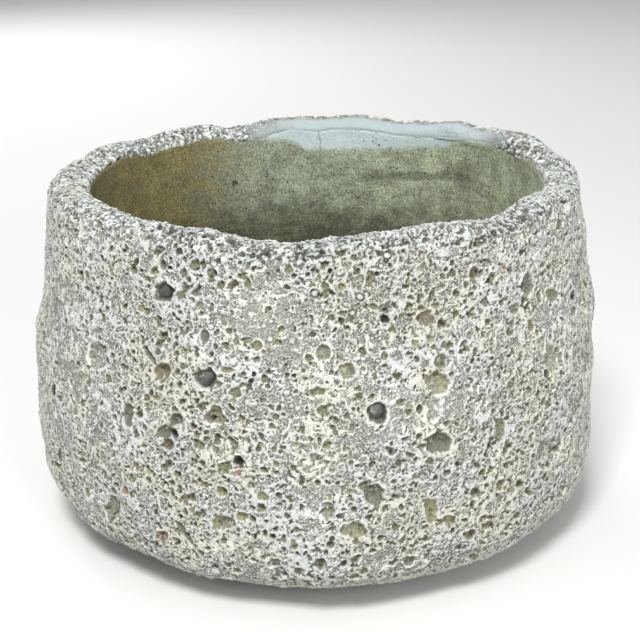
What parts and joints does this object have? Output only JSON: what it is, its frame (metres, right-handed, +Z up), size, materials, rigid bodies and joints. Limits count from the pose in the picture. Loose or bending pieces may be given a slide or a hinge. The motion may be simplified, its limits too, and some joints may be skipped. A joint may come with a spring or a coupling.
{
  "type": "cast concrete planter",
  "caption": "Low round planter of rough pitted cast concrete with an uneven rolled rim, a smooth cement lining and a central drain hole.",
  "frame": {"origin": "centre of the foot, on the ground", "axes": "+Z up, along the planter's axis; the side seen in front faces -Y"},
  "size_m": [0.3875, 0.3855, 0.2402],
  "materials": {
    "facing": "rough cast, deeply pitted, matt",
    "backing": "plain cast concrete, matt",
    "lining": "smooth trowelled cement, stained green and brown, matt",
    "slab": "plain cast concrete, matt",
    "sleeve": "grey moulded tube, matt",
    "wire": "drawn wire with light rust",
    "tie": "annealed tie wire",
    "stone": "dark grey natural stone, slightly glossy"
  },
  "bodies": {
    "root": {"outer_shell": "facing", "backing_coat": "backing", "inner_lining": "lining", "floor_slab": "slab", "drain_sleeve": "sleeve", "hoop_top": "wire", "hoop_middle": "wire", "hoop_base": "wire", "wire_ties": "tie", "upright_1": "wire", "upright_2": "wire", "upright_3": "wire", "upright_4": "wire", "upright_5": "wire", "upright_6": "wire", "upright_7": "wire", "upright_8": "wire", "stone_1": "stone", "stone_2": "stone", "stone_3": "stone", "stone_4": "stone"}
  },
  "joints": []
}
